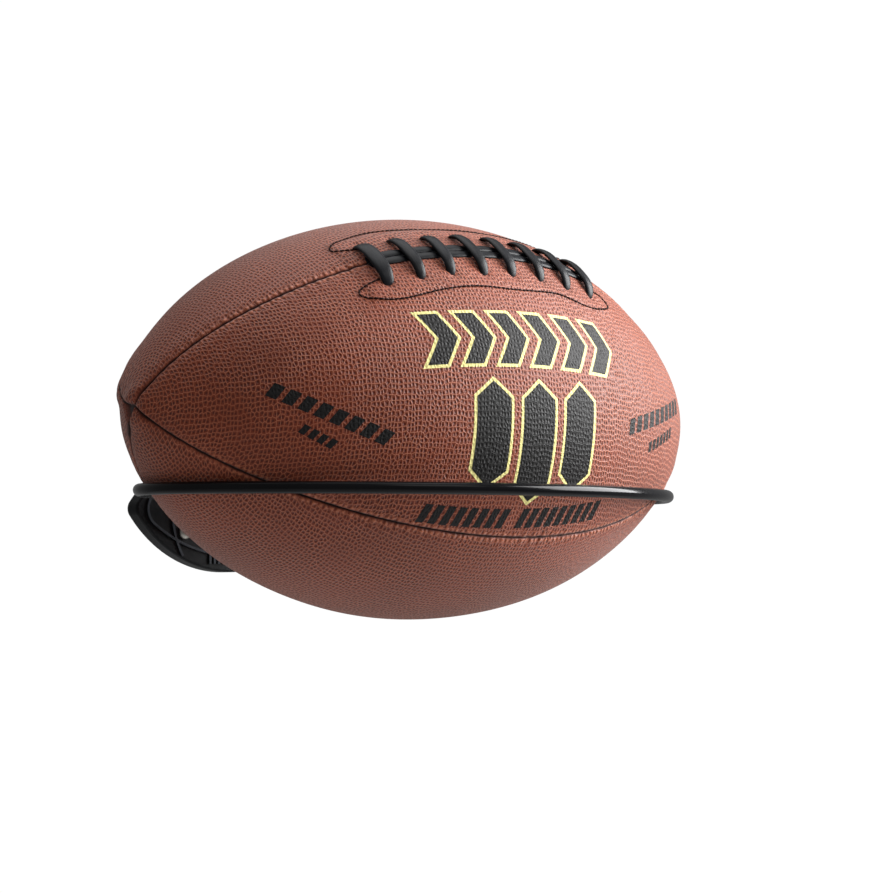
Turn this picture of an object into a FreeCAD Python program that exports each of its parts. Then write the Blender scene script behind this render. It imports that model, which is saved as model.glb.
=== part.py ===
import FreeCAD, Part
import math
import os

# Wall-mounted wire holder with the American football that it displays.
# Millimetres.  The origin is the middle of the wall plate, on the wall:
# +X runs along the wall, +Y goes into the wall and +Z is up.

Vector = FreeCAD.Vector
os.makedirs("parts", exist_ok=True)

# --- driving dimensions -------------------------------------------------------

# football: an official size ball, its long axis along X
BALL_HALF_LENGTH = 143.0
BALL_RADIUS = 85.5
BALL_FULLNESS = 1.28        # radius = BALL_RADIUS * sin(t) ** BALL_FULLNESS
BALL_ALONG = -1.0           # centre of the ball, along the wall
BALL_OUT = 137.0            # centre of the ball from the wall
BALL_UP = 36.5              # centre of the ball above the plate's centre
BALL_TILT = 0.9             # degrees that the left tip sits higher in the hoop
LACED_SEAM = 53.2           # angle of the laced seam, from the front up and over
SKIN = 1.8                  # thickness of a cover panel
LINING = 0.6
BLADDER = 0.7
LAYER_GAP = 0.05            # between two layers of the ball
TIP_HOLE = 0.5              # radius left open where four panels meet

# lace, facings and tongue
LACE_COUNT = 8
LACE_PITCH = 15.6
LACE_ROD = 1.6              # radius of a lace
LACE_LIFT = 2.3             # lace centreline above the skin
LACE_REACH = 14.0           # laced seam to a lace hole, round the ball
LACE_HOLE = 1.8
LACE_BEND = 2.0
STRAND_WIDTH = 3.2
STRAND_LOW = 0.25           # the strands under the cross laces, above the skin
STRAND_HIGH = 1.25
STRAND_HALF_LENGTH = 58.0
FACING_WIDTH = 21.0
FACING_HALF_LENGTH = 67.0
TONGUE_WIDTH = 11.0
TONGUE_HALF_LENGTH = 62.0
TONGUE = 0.8

# valve, in the middle of the panel that faces the wall
VALVE_STEM = 3.2
VALVE_SINK = 0.35
VALVE_LENGTH = 11.0
VALVE_FLANGE = 8.0
VALVE_FLANGE_THICK = 1.0
VALVE_FLANGE_DEPTH = 4.75
NEEDLE_HOLE = 1.05
VALVE_FIT = 0.05
VALVE_FROM_LACES = 135.0    # degrees on from the laced seam

# hoop
ROD = 2.6
HOOP_UP = 4.8
HOOP_HALF_LENGTH = 130.9
HOOP_HALF_WIDTH = 90.0
HOOP_END_RADIUS = 45.0
LEG_APART = 11.0            # each leg from the middle
LEG_BEND = 10.0
WELD_FOOT = 4.6
WELD_TOP = 2.9
WELD_HEIGHT = 2.0

# wall plate: a moulded cover over a steel bracket
PLATE_HALF_LENGTH = 50.5
PLATE_HALF_HEIGHT = 27.7
PLATE_TIP_RADIUS = 5.0
PLATE_DEPTH = 7.0
PLATE_WALL = 2.0
PLATE_EDGE = 1.0
BRACKET_HALF_LENGTH = 42.0
BRACKET_HALF_HEIGHT = 21.0
BRACKET_TIP_RADIUS = 8.0
BRACKET_THICK = 2.5
BOSS = 4.5
LEG_CLEARANCE = 0.3

# raised emblem on the cover: a ball's seam, its end stripes and its laces
RIB_WIDTH = 1.1
RIB_HIGH = 0.7
RIB_ROOT = 0.3
SEAM_HALF_LENGTH = 44.5
SEAM_HALF_HEIGHT = 20.0
SEAM_TIP_RADIUS = 8.0
STRIPE_RADIUS = 39.8
STRIPE_CENTRE = 8.3
STRIPE_HALF_HEIGHT = 20.7
TICK_COUNT = 10
TICK_PITCH = 2.4
TICK_LOW = -24.0
TICK_HIGH = -16.0

# fixings
SCREW_APART_X = 49.0
SCREW_APART_Z = 20.4
SCREW_THREAD = 2.0          # radius over the thread, from the wall's face inwards
SCREW_NECK = 1.8
SCREW_TIP = 23.0
SCREW_POINT = 5.0
SCREW_HEAD = 3.1
SCREW_HEAD_RIM = 0.9
SCREW_HEAD_HIGH = 2.2
SCREW_SHOULDER = 2.4        # a point on the rounded top of the head
SCREW_SHOULDER_HIGH = 1.8
CROSS_LENGTH = 3.4
CROSS_WIDTH = 0.8
CROSS_DEPTH = 1.3
SCREW_HOLE = 2.15

# --- helpers ------------------------------------------------------------------

BALL_AXIS = Vector(-1, 0, 0)    # a positive turn goes from the front up and over
BALL_CENTRE = Vector(BALL_ALONG, -BALL_OUT, BALL_UP)
ORIGIN = Vector(0, 0, 0)


def save(node, *solids):
    """Write one node from one solid or from several separate ones."""
    shape = solids[0] if len(solids) == 1 else Part.makeCompound(list(solids))
    shape.exportStep("parts/" + node + ".step")


def joined(shapes):
    """One solid from shapes that overlap."""
    whole = shapes[0].multiFuse(shapes[1:]).removeSplitter()
    return whole.Solids[0] if len(whole.Solids) == 1 else whole


def rod_y(radius, y_from, y_to, x=0.0, z=0.0):
    """A cylinder along Y."""
    return Part.makeCylinder(radius, y_to - y_from, Vector(x, y_from, z), Vector(0, 1, 0))


def arc_edge(plane, centre, radius, start, end):
    """An arc in a plane, between two angles in degrees."""
    points = []
    for angle in (start, (start + end) / 2, end):
        turn = math.radians(angle)
        points.append(plane(centre[0] + radius * math.cos(turn),
                            centre[1] + radius * math.sin(turn)))
    return Part.Arc(*points).toShape()


def oval_numbers(half_length, half_width, end_radius):
    """Side radius, end angle and end centre of an oval of four tangent arcs."""
    reach = half_length - end_radius
    side = (reach ** 2 + half_width ** 2 - end_radius ** 2) / (2 * (half_width - end_radius))
    angle = math.degrees(math.atan2(side - half_width, reach))
    return side, angle, reach


def oval_wire(plane, half_length, half_width, end_radius):
    """A closed oval of four tangent arcs."""
    side, angle, reach = oval_numbers(half_length, half_width, end_radius)
    drop = side - half_width
    return Part.Wire([
        arc_edge(plane, (reach, 0), end_radius, -angle, angle),
        arc_edge(plane, (0, -drop), side, angle, 180 - angle),
        arc_edge(plane, (-reach, 0), end_radius, 180 - angle, 180 + angle),
        arc_edge(plane, (0, drop), side, 180 + angle, 360 - angle),
    ])


def wall_plane(y):
    """Plane parallel to the wall: takes x and z."""
    return lambda x, z: Vector(x, y, z)


def oval_plate(y_front, y_back, half_length, half_height, tip_radius, inset=0.0):
    """A football-shaped plate parallel to the wall."""
    outline = oval_wire(wall_plane(y_front), half_length - inset,
                        half_height - inset, tip_radius - inset)
    return Part.Face(outline).extrude(Vector(0, y_back - y_front, 0))


def screw_places():
    """Centres of the four screws, as x and z."""
    return [(sx * SCREW_APART_X / 2, sz * SCREW_APART_Z / 2) for sx in (-1, 1) for sz in (-1, 1)]

# --- football -----------------------------------------------------------------


def ball_point(inset, t):
    """Point of the ball's outline, a layer's depth inside the skin."""
    radius = (BALL_RADIUS - inset) * math.sin(t) ** BALL_FULLNESS
    return Vector((BALL_HALF_LENGTH - inset) * math.cos(t), -radius, 0)


def skin_radius(x, inset=0.0):
    """Radius of a layer at a place along the ball."""
    return (BALL_RADIUS - inset) * (1 - (x / (BALL_HALF_LENGTH - inset)) ** 2) ** (BALL_FULLNESS / 2)


def outline_points(inset, half_span, count=29):
    """Points along one layer, between its two ends."""
    if half_span is None:
        start = math.asin((TIP_HOLE / (BALL_RADIUS - inset)) ** (1 / BALL_FULLNESS))
    else:
        start = math.acos(half_span / (BALL_HALF_LENGTH - inset))
    step = (math.pi - 2 * start) / (count - 1)
    return [ball_point(inset, start + i * step) for i in range(count)]


def layer(outer, inner, start, sweep, half_span=None):
    """Part of a layer of the ball, turned about its long axis."""
    edges, ends = [], []
    for inset in (outer, inner):
        points = outline_points(inset, half_span)
        curve = Part.BSplineCurve()
        curve.interpolate(points)
        edges.append(curve.toShape())
        ends.append((points[0], points[-1]))
    edges += [Part.makeLine(ends[0][i], ends[1][i]) for i in (0, 1)]
    face = Part.Face(Part.Wire(Part.sortEdges(edges)[0]))
    face.rotate(ORIGIN, BALL_AXIS, start)
    return face.revolve(ORIGIN, BALL_AXIS, sweep)


def band(outer, inner, width, half_span, side):
    """A strip beside the laced seam: side is -1 in front, 1 behind, 0 across it."""
    sweep = math.degrees(width / BALL_RADIUS)
    start = {-1: -sweep, 0: -sweep, 1: 0.0}[side]
    return layer(outer, inner, LACED_SEAM + start, sweep * (2 if side == 0 else 1), half_span)


def radial(shape, x, angle):
    """Move a shape built along Z at the ball's axis out to an angle."""
    # built along +Z, which is an angle of 90 from the front
    shape.rotate(ORIGIN, BALL_AXIS, angle - 90)
    shape.translate(Vector(x, 0, 0))
    return shape


def lace_places():
    """Each cross lace: its place along the ball and its half angle."""
    first = -LACE_PITCH * (LACE_COUNT - 1) / 2
    rows = [first + i * LACE_PITCH for i in range(LACE_COUNT)]
    return [(x, math.degrees(LACE_REACH / skin_radius(x))) for x in rows]


def lace_holes(side):
    """Cutters for the lace holes on one side of the seam."""
    cutters = []
    for x, half_angle in lace_places():
        length = skin_radius(x) + 1 - BALL_RADIUS / 2
        cutter = Part.makeCylinder(LACE_HOLE, length, Vector(0, 0, BALL_RADIUS / 2))
        cutters.append(radial(cutter, x, LACED_SEAM + side * half_angle))
    return cutters


def cross_lace(x, half_angle):
    """One lace over the seam, bent down into its two holes."""
    top = skin_radius(x) + LACE_LIFT
    low = skin_radius(x) - SKIN - LINING
    bend_at = top - LACE_BEND
    bend_angle = math.degrees(math.asin(LACE_BEND / bend_at))
    line_end = math.sqrt(bend_at ** 2 - LACE_BEND ** 2)

    def plane(u, v):
        return Vector(x, -u, v)

    def polar(radius, angle):
        turn = math.radians(angle)
        return plane(radius * math.cos(turn), radius * math.sin(turn))

    first, last = LACED_SEAM - half_angle, LACED_SEAM + half_angle
    bends = []
    for angle, turn in ((first, 1), (last, -1)):
        centre_angle = math.radians(angle + turn * bend_angle)
        centre = (bend_at * math.cos(centre_angle), bend_at * math.sin(centre_angle))
        bends.append((centre, angle - turn * 90, angle + turn * bend_angle))
    path = Part.Wire([
        Part.makeLine(polar(low, first), polar(line_end, first)),
        arc_edge(plane, bends[0][0], LACE_BEND, bends[0][1], bends[0][2]),
        arc_edge(plane, (0, 0), top, first + bend_angle, last - bend_angle),
        arc_edge(plane, bends[1][0], LACE_BEND, bends[1][2], bends[1][1]),
        Part.makeLine(polar(line_end, last), polar(low, last)),
    ])
    along = polar(line_end, first) - polar(low, first)
    section = Part.Wire([Part.makeCircle(LACE_ROD, polar(low, first), along)])
    return path.makePipeShell([section], True, False)


def make_lace():
    """The whole lace: eight crossings on two long strands."""
    strands = [band(-STRAND_HIGH, -STRAND_LOW, STRAND_WIDTH, STRAND_HALF_LENGTH, side) for side in (-1, 1)]
    crossings = [cross_lace(x, half_angle) for x, half_angle in lace_places()]
    return joined(strands + crossings)


def make_valve():
    """Rubber valve with its flange and needle hole, built along Z."""
    top = BALL_RADIUS - VALVE_SINK
    flange_top = BALL_RADIUS - VALVE_FLANGE_DEPTH
    stem = Part.makeCylinder(VALVE_STEM, VALVE_LENGTH, Vector(0, 0, top - VALVE_LENGTH))
    flange = Part.makeCylinder(VALVE_FLANGE, VALVE_FLANGE_THICK,
                               Vector(0, 0, flange_top - VALVE_FLANGE_THICK))
    hole = Part.makeCylinder(NEEDLE_HOLE, VALVE_LENGTH, Vector(0, 0, top - VALVE_LENGTH))
    return joined([stem, flange]).cut(hole).Solids[0]


def make_football():
    """All the pieces of the ball, by node name, about the ball's own centre."""
    pieces = {}
    lining_top = SKIN + LAYER_GAP
    tongue_top = lining_top + LINING + LAYER_GAP
    bladder_top = tongue_top + TONGUE + LAYER_GAP
    valve_angle = LACED_SEAM + VALVE_FROM_LACES
    valve_hole = radial(Part.makeCylinder(VALVE_STEM + VALVE_FIT, BALL_RADIUS,
                                          Vector(0, 0, BALL_RADIUS / 2)), 0, valve_angle)
    facing_room = band(SKIN, tongue_top, FACING_WIDTH + LAYER_GAP, FACING_HALF_LENGTH + LAYER_GAP, 0)

    quarters = {"upper_front": -90, "upper_rear": 0, "lower_rear": 90, "lower_front": 180}
    for name, offset in quarters.items():
        start = LACED_SEAM + offset
        cuts = {"upper_front": lace_holes(-1), "upper_rear": lace_holes(1),
                "lower_rear": [valve_hole], "lower_front": []}[name]
        panel = layer(0, SKIN, start, 90)
        lining = layer(lining_top, lining_top + LINING, start, 90)
        if name.startswith("upper"):
            lining = lining.cut(facing_room)
        elif cuts:
            lining = lining.cut(valve_hole)
        for cutter in cuts:
            panel = panel.cut(cutter)
        pieces["panel_" + name] = panel.Solids[0]
        pieces["lining_" + name] = lining.Solids[0]

    for name, side in (("front", -1), ("rear", 1)):
        facing = band(lining_top, lining_top + LINING, FACING_WIDTH, FACING_HALF_LENGTH, side)
        for cutter in lace_holes(side):
            facing = facing.cut(cutter)
        pieces["lace_facing_" + name] = facing.Solids[0]

    pieces["lace_tongue"] = band(tongue_top, tongue_top + TONGUE, TONGUE_WIDTH, TONGUE_HALF_LENGTH, 0)
    pieces["lace"] = make_lace()
    pieces["valve"] = radial(make_valve(), 0, valve_angle)
    pieces["bladder"] = make_bladder(bladder_top).cut(valve_hole).Solids[0]
    for piece in pieces.values():
        piece.rotate(ORIGIN, Vector(0, 1, 0), BALL_TILT)
        piece.translate(BALL_CENTRE)
    return pieces


def make_bladder(inset):
    """Closed, hollow bladder."""
    solids = []
    for depth in (inset, inset + BLADDER):
        points = outline_points(depth, None)
        curve = Part.BSplineCurve()
        curve.interpolate(points)
        feet = [Vector(points[i].x, 0, 0) for i in (0, -1)]
        outline = Part.Wire(Part.sortEdges([
            curve.toShape(), Part.makeLine(feet[0], points[0]),
            Part.makeLine(feet[1], points[-1]), Part.makeLine(feet[0], feet[1]),
        ])[0])
        solids.append(Part.Face(outline).revolve(ORIGIN, BALL_AXIS, 360))
    return solids[0].cut(solids[1])

# --- holder -------------------------------------------------------------------


def make_hoop():
    """One rod: out from the bracket, round the ball and back."""
    side, angle, reach = oval_numbers(HOOP_HALF_LENGTH, HOOP_HALF_WIDTH, HOOP_END_RADIUS)
    drop = side - HOOP_HALF_WIDTH
    bend_x = LEG_APART + LEG_BEND
    rise = math.sqrt((side + LEG_BEND) ** 2 - bend_x ** 2)
    bend_y = rise - drop
    leg_angle = math.degrees(math.atan2(rise, bend_x))
    leg_start = BALL_OUT - BRACKET_THICK

    def plane(u, v):
        return Vector(u, v - BALL_OUT, HOOP_UP)

    path = Part.Wire([
        Part.makeLine(plane(-LEG_APART, leg_start), plane(-LEG_APART, bend_y)),
        arc_edge(plane, (-bend_x, bend_y), LEG_BEND, 0, -leg_angle),
        arc_edge(plane, (0, -drop), side, 180 - leg_angle, 180 - angle),
        arc_edge(plane, (-reach, 0), HOOP_END_RADIUS, 180 - angle, 180 + angle),
        arc_edge(plane, (0, drop), side, 180 + angle, 360 - angle),
        arc_edge(plane, (reach, 0), HOOP_END_RADIUS, -angle, angle),
        arc_edge(plane, (0, -drop), side, angle, leg_angle),
        arc_edge(plane, (bend_x, bend_y), LEG_BEND, 180 + leg_angle, 180),
        Part.makeLine(plane(LEG_APART, bend_y), plane(LEG_APART, leg_start)),
    ])
    section = Part.Wire([Part.makeCircle(ROD, plane(-LEG_APART, leg_start), Vector(0, -1, 0))])
    return path.makePipeShell([section], True, False)


def make_welds():
    """A ring of weld round each leg, on the bracket."""
    rings = []
    for x in (-LEG_APART, LEG_APART):
        ring = Part.makeCone(WELD_FOOT, WELD_TOP, WELD_HEIGHT,
                             Vector(x, -BRACKET_THICK, HOOP_UP), Vector(0, -1, 0))
        rings.append(ring.cut(rod_y(ROD, -PLATE_DEPTH, 0, x, HOOP_UP)))
    return rings


def make_bracket():
    """Steel plate behind the cover, with four screw holes."""
    bracket = oval_plate(-BRACKET_THICK, 0, BRACKET_HALF_LENGTH, BRACKET_HALF_HEIGHT, BRACKET_TIP_RADIUS)
    for x, z in screw_places():
        bracket = bracket.cut(rod_y(SCREW_HOLE, -PLATE_DEPTH, PLATE_DEPTH, x, z))
    return bracket


def front_edges(shape, y):
    """Edges that lie on one plane parallel to the wall."""
    return [e for e in shape.Edges if abs(e.BoundBox.YMin - y) < 1e-4 and abs(e.BoundBox.YMax - y) < 1e-4]


def emblem_ribs():
    """Raised seam, end stripes and lace ticks."""
    y = -PLATE_DEPTH + RIB_ROOT
    height = Vector(0, -RIB_HIGH - RIB_ROOT, 0)
    half = RIB_WIDTH / 2
    seams = [oval_wire(wall_plane(y), SEAM_HALF_LENGTH + d, SEAM_HALF_HEIGHT + d, SEAM_TIP_RADIUS + d)
             for d in (half, -half)]
    ribs = [Part.Face(seams[0]).cut(Part.Face(seams[1])).extrude(height)]
    stripe_angle = math.degrees(math.asin(STRIPE_HALF_HEIGHT / STRIPE_RADIUS))
    for side in (-1, 1):
        middle = 0 if side > 0 else 180
        centre = (-side * STRIPE_CENTRE, 0)
        inner, outer = [
            arc_edge(wall_plane(y), centre, STRIPE_RADIUS + d, middle - stripe_angle, middle + stripe_angle)
            for d in (-half, half)]
        ends = [Part.makeLine(inner.Vertexes[i].Point, outer.Vertexes[i].Point) for i in (0, 1)]
        outline = Part.Wire(Part.sortEdges([inner, outer] + ends)[0])
        ribs.append(Part.Face(outline).extrude(height))
    for i in range(TICK_COUNT):
        x = (i - (TICK_COUNT - 1) / 2) * TICK_PITCH - half
        ribs.append(Part.makeBox(RIB_WIDTH, RIB_HIGH + RIB_ROOT, TICK_HIGH - TICK_LOW,
                                 Vector(x, -PLATE_DEPTH - RIB_HIGH, TICK_LOW)))
    return ribs


def make_cover():
    """Moulded cover with a raised emblem, open at the back."""
    body = oval_plate(-PLATE_DEPTH, 0, PLATE_HALF_LENGTH, PLATE_HALF_HEIGHT, PLATE_TIP_RADIUS)
    body = body.makeFillet(PLATE_EDGE, front_edges(body, -PLATE_DEPTH))
    pocket = oval_plate(-PLATE_DEPTH + PLATE_WALL, 1, PLATE_HALF_LENGTH, PLATE_HALF_HEIGHT,
                        PLATE_TIP_RADIUS, PLATE_WALL)
    body = body.cut(pocket)
    bosses = [rod_y(BOSS, -PLATE_DEPTH + PLATE_WALL / 2, -BRACKET_THICK, x, z) for x, z in screw_places()]
    body = joined([body] + bosses + emblem_ribs())
    for x, z in screw_places():
        body = body.cut(rod_y(SCREW_HOLE, -2 * PLATE_DEPTH, PLATE_DEPTH, x, z))
    for x in (-LEG_APART, LEG_APART):
        body = body.cut(rod_y(ROD + LEG_CLEARANCE, -2 * PLATE_DEPTH, PLATE_DEPTH, x, HOOP_UP))
    return body.Solids[0]


def make_screw(x, z):
    """Pan-head screw with a cross recess, its head on the cover."""
    seat = -PLATE_DEPTH
    rim = seat - SCREW_HEAD_RIM
    crown = seat - SCREW_HEAD_HIGH
    body = [
        Vector(0, SCREW_TIP, 0),
        Vector(SCREW_THREAD, SCREW_TIP - SCREW_POINT, 0),
        Vector(SCREW_THREAD, 0, 0),
        Vector(SCREW_NECK, 0, 0),
        Vector(SCREW_NECK, seat, 0),
        Vector(SCREW_HEAD, seat, 0),
        Vector(SCREW_HEAD, rim, 0),
    ]
    edges = [Part.makeLine(a, b) for a, b in zip(body, body[1:])]
    shoulder = Vector(SCREW_SHOULDER, seat - SCREW_SHOULDER_HIGH, 0)
    edges.append(Part.Arc(body[-1], shoulder, Vector(0, crown, 0)).toShape())
    edges.append(Part.makeLine(Vector(0, crown, 0), body[0]))
    screw = Part.Face(Part.Wire(edges)).revolve(ORIGIN, Vector(0, 1, 0), 360)
    for length, width in ((CROSS_LENGTH, CROSS_WIDTH), (CROSS_WIDTH, CROSS_LENGTH)):
        screw = screw.cut(Part.makeBox(length, CROSS_DEPTH + 1, width,
                                       Vector(-length / 2, crown - 1, -width / 2)))
    screw.translate(Vector(x, 0, z))
    return screw.Solids[0]


def main():
    save("hoop", make_hoop())
    save("leg_welds", *make_welds())
    save("mounting_bracket", make_bracket())
    save("wall_cover", make_cover())
    save("wall_screws", *[make_screw(x, z) for x, z in screw_places()])
    for node, solid in make_football().items():
        save(node, solid)


main()
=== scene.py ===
import math
from functools import partial

import bmesh
import bpy
import numpy as np
from mathutils import Matrix, Vector


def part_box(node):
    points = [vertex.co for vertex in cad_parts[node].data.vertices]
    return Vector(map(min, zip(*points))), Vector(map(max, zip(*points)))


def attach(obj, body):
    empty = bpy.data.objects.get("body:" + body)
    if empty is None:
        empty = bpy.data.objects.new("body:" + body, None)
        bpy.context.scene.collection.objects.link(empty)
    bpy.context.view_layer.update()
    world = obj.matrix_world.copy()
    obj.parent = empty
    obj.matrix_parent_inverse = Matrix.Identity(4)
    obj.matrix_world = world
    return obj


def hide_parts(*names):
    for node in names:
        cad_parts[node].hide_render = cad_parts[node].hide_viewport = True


bl_info = {
    "name": "Wall football holder",
    "version": (1, 0, 0),
    "blender": (4, 5, 0),
    "location": "View3D > Sidebar > Football holder",
    "description": "Dresses a wire football holder and its ball: skin, lace, prints, finishes and stage",
    "category": "Object",
}

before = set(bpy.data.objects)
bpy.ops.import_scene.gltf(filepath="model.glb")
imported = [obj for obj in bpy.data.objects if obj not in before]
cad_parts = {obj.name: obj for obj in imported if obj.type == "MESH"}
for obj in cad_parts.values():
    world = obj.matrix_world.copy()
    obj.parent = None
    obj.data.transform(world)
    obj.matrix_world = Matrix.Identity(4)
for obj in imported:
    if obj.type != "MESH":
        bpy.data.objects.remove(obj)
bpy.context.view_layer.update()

MM = 0.001
HOLDER, BALL = "holder", "football"
PANELS = ("upper_front", "upper_rear", "lower_rear", "lower_front")   # up and over, a quarter turn each


def ball_box():
    """Lowest and highest corners of the ball's skin, in metres."""
    corners = [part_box("panel_" + name) for name in PANELS]
    low = [min(c[0][i] for c in corners) for i in range(3)]
    high = [max(c[1][i] for c in corners) for i in range(3)]
    return Vector(low), Vector(high)


BALL_LOW, BALL_HIGH = ball_box()
BALL_CENTRE = (BALL_LOW + BALL_HIGH) / 2
BALL_HALF = (BALL_HIGH - BALL_LOW) / 2

# --- sizes and colours a user would change --------------------------------------

length_setting = partial(bpy.props.FloatProperty, unit="LENGTH")
colour_setting = partial(bpy.props.FloatVectorProperty, subtype="COLOR")


class BallSettings(bpy.types.PropertyGroup):
    """Shape of the ball's skin."""
    half_length: length_setting(
        name="Half length", description="Middle of the ball to a tip", default=BALL_HALF.x)
    radius: length_setting(name="Radius", description="Radius round the middle", default=BALL_HALF.y)
    fullness: bpy.props.FloatProperty(
        name="Fullness", description="Power of the sine that shapes the outline", default=1.28)
    tilt: bpy.props.FloatProperty(
        name="Tilt", description="How far the left tip is lifted",
        default=math.radians(0.9), subtype="ANGLE")
    laced_seam: bpy.props.FloatProperty(
        name="Laced seam", description="Angle of the laced seam from the front, up and over",
        default=math.radians(53.2), subtype="ANGLE")
    skin: length_setting(name="Skin", description="Thickness of a panel", default=1.8 * MM)
    roll: length_setting(
        name="Edge roll", description="Radius of a panel's turned-in edge", default=1.2 * MM)
    pucker: length_setting(name="Pucker", description="Depth of the pleats along a seam", default=0.4 * MM)
    pucker_pitch: length_setting(
        name="Pucker pitch", description="From one pleat to the next", default=5.6 * MM)


class LaceSettings(bpy.types.PropertyGroup):
    """Lace, its holes and the stitched facings."""
    count: bpy.props.IntProperty(name="Crossings", description="Laces over the seam", default=8, min=2)
    pitch: length_setting(name="Pitch", description="From one crossing to the next", default=15.6 * MM)
    reach: length_setting(name="Reach", description="From the seam to a lace hole", default=14.0 * MM)
    width: length_setting(name="Width", description="Width of a crossing at its middle", default=6.0 * MM)
    thickness: length_setting(name="Thickness", description="Thickness of a crossing", default=2.3 * MM)
    strand_width: length_setting(
        name="Strand width", description="Width of one long strand", default=4.3 * MM)
    strand_half_length: length_setting(
        name="Strand half length", description="Middle of the lace to a strand's end", default=59.0 * MM)
    thread: length_setting(name="Thread", description="Radius of the facing thread", default=0.46 * MM)
    stitch: length_setting(name="Stitch", description="Length of one facing stitch", default=2.3 * MM)


class ScrewSettings(bpy.types.PropertyGroup):
    """Places and thread of the four wall screws."""
    apart_x: length_setting(
        name="Apart, across", description="Between the screws, along the wall", default=49.0 * MM)
    apart_z: length_setting(
        name="Apart, up", description="Between the screws, up the wall", default=20.4 * MM)
    outer: length_setting(name="Thread radius", description="Radius over the thread", default=1.98 * MM)
    core: length_setting(name="Core radius", description="Radius between the threads", default=1.4 * MM)
    pitch: length_setting(name="Thread pitch", description="From one turn to the next", default=1.7 * MM)
    straight: length_setting(
        name="Straight", description="Thread before the point starts", default=18.0 * MM)
    point: length_setting(name="Point", description="End of the point", default=22.9 * MM)


class FinishSettings(bpy.types.PropertyGroup):
    """Colours of the main finishes."""
    skin: colour_setting(name="Ball skin", description="Pebbled skin", default=(0.205, 0.029, 0.005))
    # Painted shade: the pebbles' pits are coloured with this, and the seams and the tucked tip's hollow
    # with a darker copy of it.
    pit_shade: colour_setting(
        name="Pebble pits", description="Bottom of the pebbles", default=(0.060, 0.006, 0.001))
    # Painted highlight: the pebbles' ridges are coloured with this, not worn; the seam ticks take it too.
    ridge_highlight: colour_setting(
        name="Pebble ridges", description="Worn tops between the pits", default=(0.70, 0.21, 0.10))
    lace: colour_setting(name="Lace", description="Lace and strands", default=(0.004, 0.0045, 0.0065))
    rod: colour_setting(name="Rod", description="Powder coat on the hoop", default=(0.004, 0.004, 0.005))
    moulding: colour_setting(name="Moulding", description="Wall cover", default=(0.005, 0.0055, 0.0065))
    ink: colour_setting(name="Ink", description="Dark print", default=(0.010, 0.009, 0.009))
    edging: colour_setting(
        name="Edging", description="Pale edge round the big marks", default=(1.0, 0.90, 0.36))
    tick: length_setting(
        name="Seam tick", description="From one pulled stitch to the next beside a seam", default=2.7 * MM)
    pebble: length_setting(name="Pebble", description="From one pebble to the next", default=1.7 * MM)


class StageSettings(bpy.types.PropertyGroup):
    """Camera, lights and floor."""
    camera: bpy.props.FloatVectorProperty(
        name="Camera", description="Camera, from the middle of the ball",
        default=(-1.5115, -1.9454, -0.0943), subtype="XYZ", unit="LENGTH")
    aim: bpy.props.FloatVectorProperty(
        name="Aim", description="Point looked at, from the middle of the ball",
        default=(0.0138, -0.0103, -0.0114), subtype="XYZ", unit="LENGTH")
    lens: bpy.props.FloatProperty(name="Lens", description="Focal length in mm", default=231.93)
    roll: bpy.props.FloatProperty(
        name="Roll", description="Camera's turn about its view",
        default=math.radians(0.113), subtype="ANGLE")
    floor_drop: length_setting(
        name="Floor drop", description="Floor below the wall plate's middle", default=1.3)
    floor_radius: length_setting(name="Floor radius", description="Radius of the round floor", default=2.4)


SETTINGS = {"wfh_ball": BallSettings, "wfh_lace": LaceSettings, "wfh_screw": ScrewSettings,
            "wfh_finish": FinishSettings, "wfh_stage": StageSettings}

# --- the ball's surface ----------------------------------------------------------

TURN = 2 * math.pi
QUARTER = math.pi / 2
VALVE_FROM_LACE = math.radians(135)


def bell(value, width, centre=0.0):
    """1 at the centre, fading to nothing a few widths away."""
    return np.exp(-((value - centre) / width) ** 2)


def rising(value, start, length):
    """0 up to the start, then up to 1 over a length."""
    return np.clip((value - start) / length, 0, 1)


def falling(value, end, length):
    """1 at first, then down over a length to 0 at the end."""
    return np.clip((end - value) / length, 0, 1)


def wrapped(angle):
    """An angle brought between minus half a turn and half a turn."""
    return np.mod(angle + math.pi, TURN) - math.pi


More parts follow.
